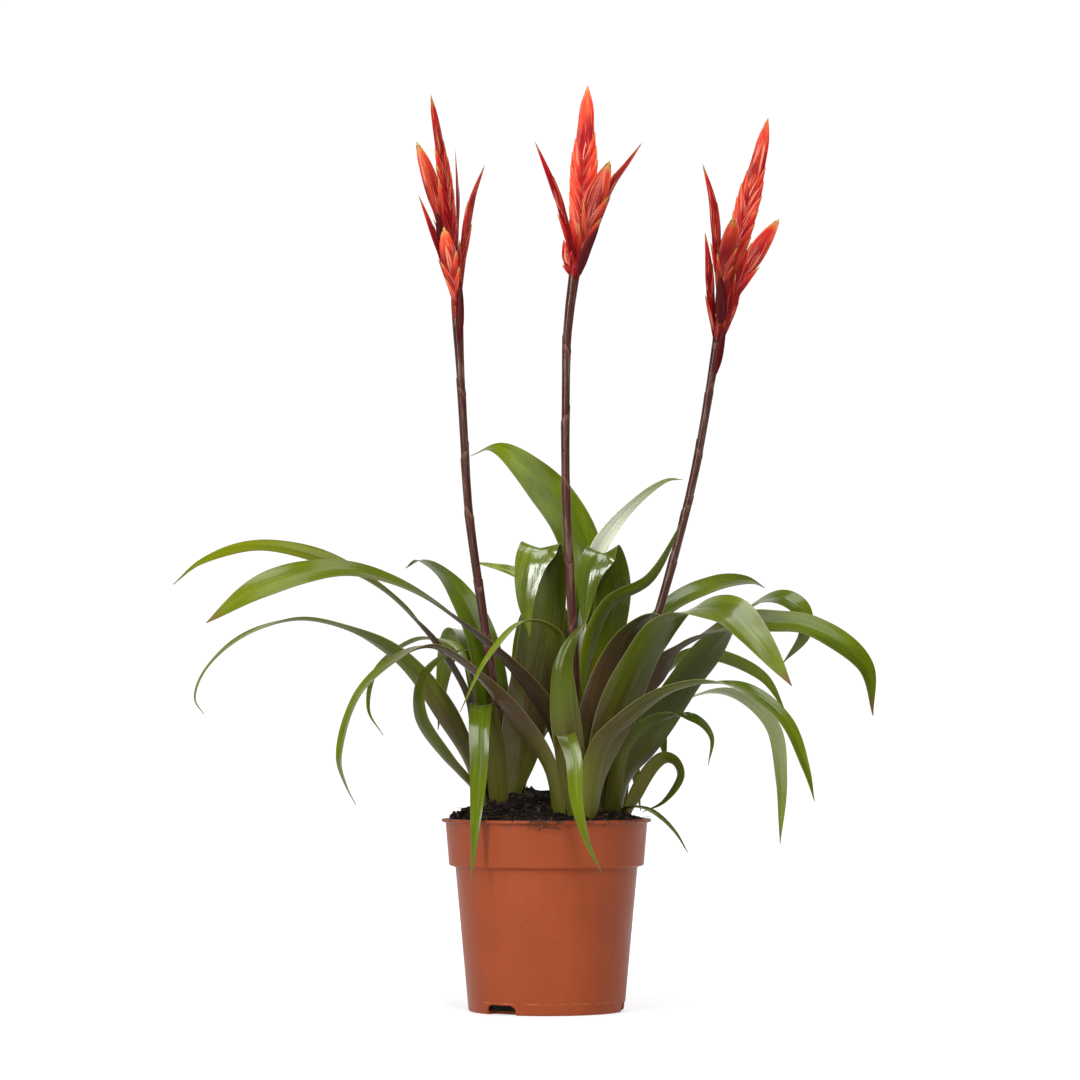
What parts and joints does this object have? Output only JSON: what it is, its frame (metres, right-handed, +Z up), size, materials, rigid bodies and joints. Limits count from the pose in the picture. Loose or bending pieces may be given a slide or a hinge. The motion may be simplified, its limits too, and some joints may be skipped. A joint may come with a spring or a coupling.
{
  "type": "potted bromeliad plant",
  "caption": "Potted bromeliad: arching strap leaves in rosettes, tall dark stems with red flattened flower spikes, in a tapered pot filled with soil.",
  "frame": {"origin": "centre of the pot's underside", "axes": "+Z up; -Y is the side that faces the viewer; +X to the viewer's right"},
  "size_m": [0.4026, 0.2649, 0.5283],
  "materials": {
    "pot": "satin",
    "soil": "matte",
    "leaf": "gloss",
    "stem": "satin",
    "spike": "satin",
    "bract": "satin"
  },
  "bodies": {
    "root": {"pot": "pot", "soil": "soil", "stem_left": "stem", "stem_middle": "stem", "stem_right": "stem", "flower_left": "spike", "flower_middle": "spike", "flower_right": "spike", "bract_left_1": "bract", "bract_left_2": "bract", "bract_middle_1": "bract", "bract_right_1": "bract", "bract_right_2": "bract", "leaf_left_1": "leaf", "leaf_left_2": "leaf", "leaf_left_3": "leaf", "leaf_left_4": "leaf", "leaf_left_5": "leaf", "leaf_left_6": "leaf", "leaf_left_7": "leaf", "leaf_left_8": "leaf", "leaf_left_9": "leaf", "leaf_left_10": "leaf", "leaf_middle_1": "leaf", "leaf_middle_2": "leaf", "leaf_middle_3": "leaf", "leaf_middle_4": "leaf", "leaf_middle_5": "leaf", "leaf_middle_6": "leaf", "leaf_middle_7": "leaf", "leaf_middle_8": "leaf", "leaf_middle_9": "leaf", "leaf_middle_10": "leaf", "leaf_right_1": "leaf", "leaf_right_2": "leaf", "leaf_right_3": "leaf", "leaf_right_4": "leaf", "leaf_right_5": "leaf", "leaf_right_6": "leaf", "leaf_right_7": "leaf", "leaf_right_8": "leaf", "leaf_right_9": "leaf", "leaf_right_10": "leaf", "leaf_right_11": "leaf", "leaf_right_12": "leaf", "leaf_right_13": "leaf"}
  },
  "joints": []
}
